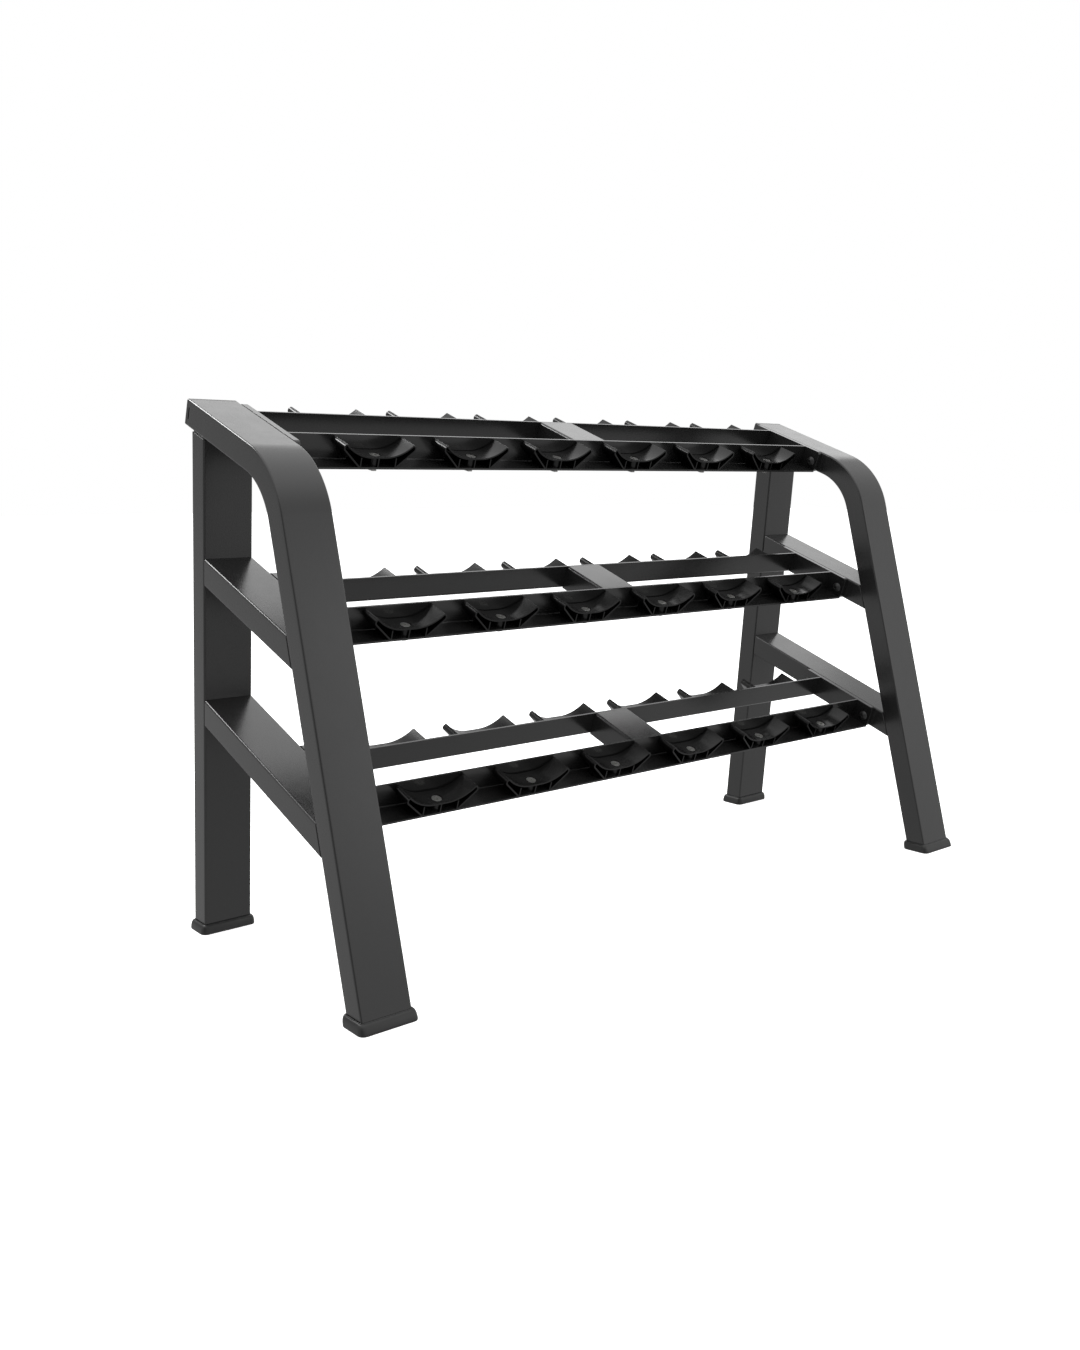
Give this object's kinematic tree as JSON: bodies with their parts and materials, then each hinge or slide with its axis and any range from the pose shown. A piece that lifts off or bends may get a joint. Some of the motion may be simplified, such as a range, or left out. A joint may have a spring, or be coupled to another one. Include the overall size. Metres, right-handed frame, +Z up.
{
  "type": "dumbbell rack",
  "caption": "Three-tier sloping dumbbell rack with moulded saddles on paired rails between two bent-tube side frames on rubber feet.",
  "frame": {"origin": "on the floor, under the middle of the rack's overall box", "axes": "+X along the rack (the long way), +Y towards the back, +Z up; the shelves slope down towards -Y, the side the dumbbells are taken from"},
  "size_m": [1.717, 0.67, 1.055],
  "materials": {
    "frame_paint": "satin dark grey powder coat",
    "shelf_paint": "satin dark grey powder coat",
    "cap_plastic": "moulded, fine grain",
    "saddle_plastic": "moulded, satin black",
    "foot_rubber": "matte black",
    "black_steel": "black oxide",
    "zinc_steel": "bright zinc"
  },
  "bodies": {
    "root": {"left_bent_tube": "frame_paint", "left_rear_post": "frame_paint", "left_mid_crossbar": "frame_paint", "left_low_crossbar": "frame_paint", "left_top_cap": "cap_plastic", "left_front_foot": "foot_rubber", "left_rear_foot": "foot_rubber", "left_end_plates": "shelf_paint", "right_bent_tube": "frame_paint", "right_rear_post": "frame_paint", "right_mid_crossbar": "frame_paint", "right_low_crossbar": "frame_paint", "right_top_cap": "cap_plastic", "right_front_foot": "foot_rubber", "right_rear_foot": "foot_rubber", "right_end_plates": "shelf_paint", "top_rails": "shelf_paint", "mid_rails": "shelf_paint", "low_rails": "shelf_paint", "centre_braces": "shelf_paint", "saddle_top_front_1": "saddle_plastic", "saddle_top_front_2": "saddle_plastic", "saddle_top_front_3": "saddle_plastic", "saddle_top_front_4": "saddle_plastic", "saddle_top_front_5": "saddle_plastic", "saddle_top_front_6": "saddle_plastic", "saddle_top_rear_1": "saddle_plastic", "saddle_top_rear_2": "saddle_plastic", "saddle_top_rear_3": "saddle_plastic", "saddle_top_rear_4": "saddle_plastic", "saddle_top_rear_5": "saddle_plastic", "saddle_top_rear_6": "saddle_plastic", "saddle_mid_front_1": "saddle_plastic", "saddle_mid_front_2": "saddle_plastic", "saddle_mid_front_3": "saddle_plastic", "saddle_mid_front_4": "saddle_plastic", "saddle_mid_front_5": "saddle_plastic", "saddle_mid_front_6": "saddle_plastic", "saddle_mid_rear_1": "saddle_plastic", "saddle_mid_rear_2": "saddle_plastic", "saddle_mid_rear_3": "saddle_plastic", "saddle_mid_rear_4": "saddle_plastic", "saddle_mid_rear_5": "saddle_plastic", "saddle_mid_rear_6": "saddle_plastic", "saddle_low_front_1": "saddle_plastic", "saddle_low_front_2": "saddle_plastic", "saddle_low_front_3": "saddle_plastic", "saddle_low_front_4": "saddle_plastic", "saddle_low_front_5": "saddle_plastic", "saddle_low_front_6": "saddle_plastic", "saddle_low_rear_1": "saddle_plastic", "saddle_low_rear_2": "saddle_plastic", "saddle_low_rear_3": "saddle_plastic", "saddle_low_rear_4": "saddle_plastic", "saddle_low_rear_5": "saddle_plastic", "saddle_low_rear_6": "saddle_plastic", "shelf_bolts": "black_steel", "shelf_nuts": "zinc_steel", "saddle_screws": "zinc_steel", "saddle_nuts": "zinc_steel"}
  },
  "joints": []
}
